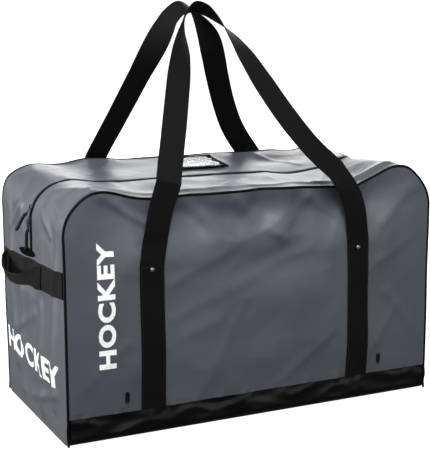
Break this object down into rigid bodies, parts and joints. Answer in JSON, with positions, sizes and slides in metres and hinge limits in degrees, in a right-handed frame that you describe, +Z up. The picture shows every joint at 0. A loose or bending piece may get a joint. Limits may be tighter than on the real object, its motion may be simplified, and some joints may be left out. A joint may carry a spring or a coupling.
{
  "type": "hockey equipment bag",
  "caption": "Box-shaped hockey equipment bag of coated fabric with piped panels, a top zip that runs down both ends, webbing carry handles and end grab handles.",
  "frame": {"origin": "middle of the flat underside, on the floor", "axes": "+X along the bag to its right end, -Y out of the front panel, +Z up"},
  "size_m": [0.8904, 0.4092, 0.8401],
  "materials": {
    "grey_fabric": "semi-gloss coated tarpaulin",
    "base_fabric": "satin coated fabric",
    "webbing": "matt twill webbing",
    "zip_tape": "matt woven tape",
    "zip_coil": "satin nylon coil",
    "piping": "semi-gloss vinyl piping",
    "plastic": "satin moulded",
    "board": "sheet",
    "nickel": "antique nickel plate",
    "film": "clear vinyl",
    "paper": "blank card",
    "print": "screen-printed ink",
    "thread": "bonded thread"
  },
  "bodies": {
    "root": {"front_panel": "grey_fabric", "front_piping": "piping", "rear_panel": "grey_fabric", "rear_piping": "piping", "left_end_panel": "grey_fabric", "front_left_corner_gusset": "grey_fabric", "front_left_zip_tape": "zip_tape", "front_left_zip_coil": "zip_coil", "rear_left_corner_gusset": "grey_fabric", "rear_left_zip_tape": "zip_tape", "rear_left_zip_coil": "zip_coil", "left_zip_end_tab": "zip_tape", "left_grab_backing": "webbing", "right_end_panel": "grey_fabric", "front_right_corner_gusset": "grey_fabric", "front_right_zip_tape": "zip_tape", "front_right_zip_coil": "zip_coil", "rear_right_corner_gusset": "grey_fabric", "rear_right_zip_tape": "zip_tape", "rear_right_zip_coil": "zip_coil", "right_zip_end_tab": "zip_tape", "right_grab_backing": "webbing", "base_wrap": "base_fabric", "base_board": "board", "front_left_sewn_strap": "webbing", "front_left_rivet": "nickel", "front_left_vent": "plastic", "front_right_sewn_strap": "webbing", "front_right_rivet": "nickel", "front_right_vent": "plastic", "rear_left_sewn_strap": "webbing", "rear_left_rivet": "nickel", "rear_left_vent": "plastic", "rear_right_sewn_strap": "webbing", "rear_right_rivet": "nickel", "rear_right_vent": "plastic"},
    "front_flap": {"front_top_flap": "grey_fabric", "front_top_zip_tape": "zip_tape", "front_top_zip_coil": "zip_coil"},
    "rear_flap": {"rear_top_flap": "grey_fabric", "rear_top_zip_tape": "zip_tape", "rear_top_zip_coil": "zip_coil", "card_pocket_rim": "zip_tape", "card_window": "film"},
    "front_handle_legs": {"front_left_free_strap": "webbing", "front_right_free_strap": "webbing"},
    "front_handle_loop": {"front_carry_loop": "webbing"},
    "rear_handle_legs": {"rear_left_free_strap": "webbing", "rear_right_free_strap": "webbing"},
    "rear_handle_loop": {"rear_carry_loop": "webbing"},
    "left_grab": {"left_grab_loop": "webbing"},
    "right_grab": {"right_grab_loop": "webbing"},
    "card": {"identity_card": "paper"},
    "upper_slider": {"upper_slider": "nickel"},
    "upper_link": {"upper_slider_link": "nickel"},
    "upper_pull": {"upper_pull_tab": "plastic"},
    "lower_slider": {"lower_slider": "nickel"},
    "lower_link": {"lower_slider_link": "nickel"},
    "lower_pull": {"lower_pull_tab": "plastic"}
  },
  "joints": [
    {"name": "front_flap_open", "type": "hinge", "parent": "root", "child": "front_flap", "pos_m": [0, -0.1962, 0.486], "axis": [1, 0, 0], "range_deg": [0, 50]},
    {"name": "front_handle_peel", "type": "hinge", "parent": "root", "child": "front_handle_legs", "pos_m": [0, -0.2045, 0.345], "axis": [1, 0, 0], "range_deg": [0, 60]},
    {"name": "front_handle_fold", "type": "hinge", "parent": "front_handle_legs", "child": "front_handle_loop", "pos_m": [0, -0.2045, 0.5], "axis": [1, 0, 0], "range_deg": [0, 150]},
    {"name": "rear_flap_open", "type": "hinge", "parent": "root", "child": "rear_flap", "pos_m": [0, 0.1962, 0.486], "axis": [-1, 0, 0], "range_deg": [0, 50]},
    {"name": "rear_handle_peel", "type": "hinge", "parent": "root", "child": "rear_handle_legs", "pos_m": [0, 0.2045, 0.345], "axis": [-1, 0, 0], "range_deg": [0, 60]},
    {"name": "rear_handle_fold", "type": "hinge", "parent": "rear_handle_legs", "child": "rear_handle_loop", "pos_m": [0, 0.2045, 0.5], "axis": [-1, 0, 0], "range_deg": [0, 150]},
    {"name": "left_grab_lift", "type": "hinge", "parent": "root", "child": "left_grab", "pos_m": [-0.4129, 0, 0.333], "axis": [0, 0.9985, -0.0549], "range_deg": [0, 60]},
    {"name": "right_grab_lift", "type": "hinge", "parent": "root", "child": "right_grab", "pos_m": [0.4129, 0, 0.333], "axis": [0, -0.9985, 0.0549], "range_deg": [0, 60]},
    {"name": "upper_slider_run", "type": "hinge", "parent": "root", "child": "upper_slider", "pos_m": [-0.334, 0, 0.41], "axis": [0, 1, 0], "range_deg": [0, 58]},
    {"name": "lower_slider_run", "type": "slide", "parent": "root", "child": "lower_slider", "axis": [0, 0, -1], "range_m": [0, 0.046]},
    {"name": "upper_link_lift", "type": "hinge", "parent": "upper_slider", "child": "upper_link", "pos_m": [-0.40999, 0, 0.43917], "axis": [0.1571, 0.8988, 0.4093], "range_deg": [0, 110]},
    {"name": "upper_pull_lift", "type": "hinge", "parent": "upper_link", "child": "upper_pull", "pos_m": [-0.41579, 0.00789, 0.42407], "axis": [0.1571, 0.8988, 0.4093], "range_deg": [0, 60]},
    {"name": "lower_link_lift", "type": "hinge", "parent": "lower_slider", "child": "lower_link", "pos_m": [-0.4154, 0, 0.409], "axis": [0, 0.9903, 0.1392], "range_deg": [0, 110]},
    {"name": "lower_pull_lift", "type": "hinge", "parent": "lower_link", "child": "lower_pull", "pos_m": [-0.4154, 0.0025, 0.39117], "axis": [0, 0.9903, 0.1392], "range_deg": [0, 60]},
    {"name": "card_slide", "type": "slide", "parent": "rear_flap", "child": "card", "axis": [-1, 0, 0], "range_m": [0, 0.06]}
  ]
}
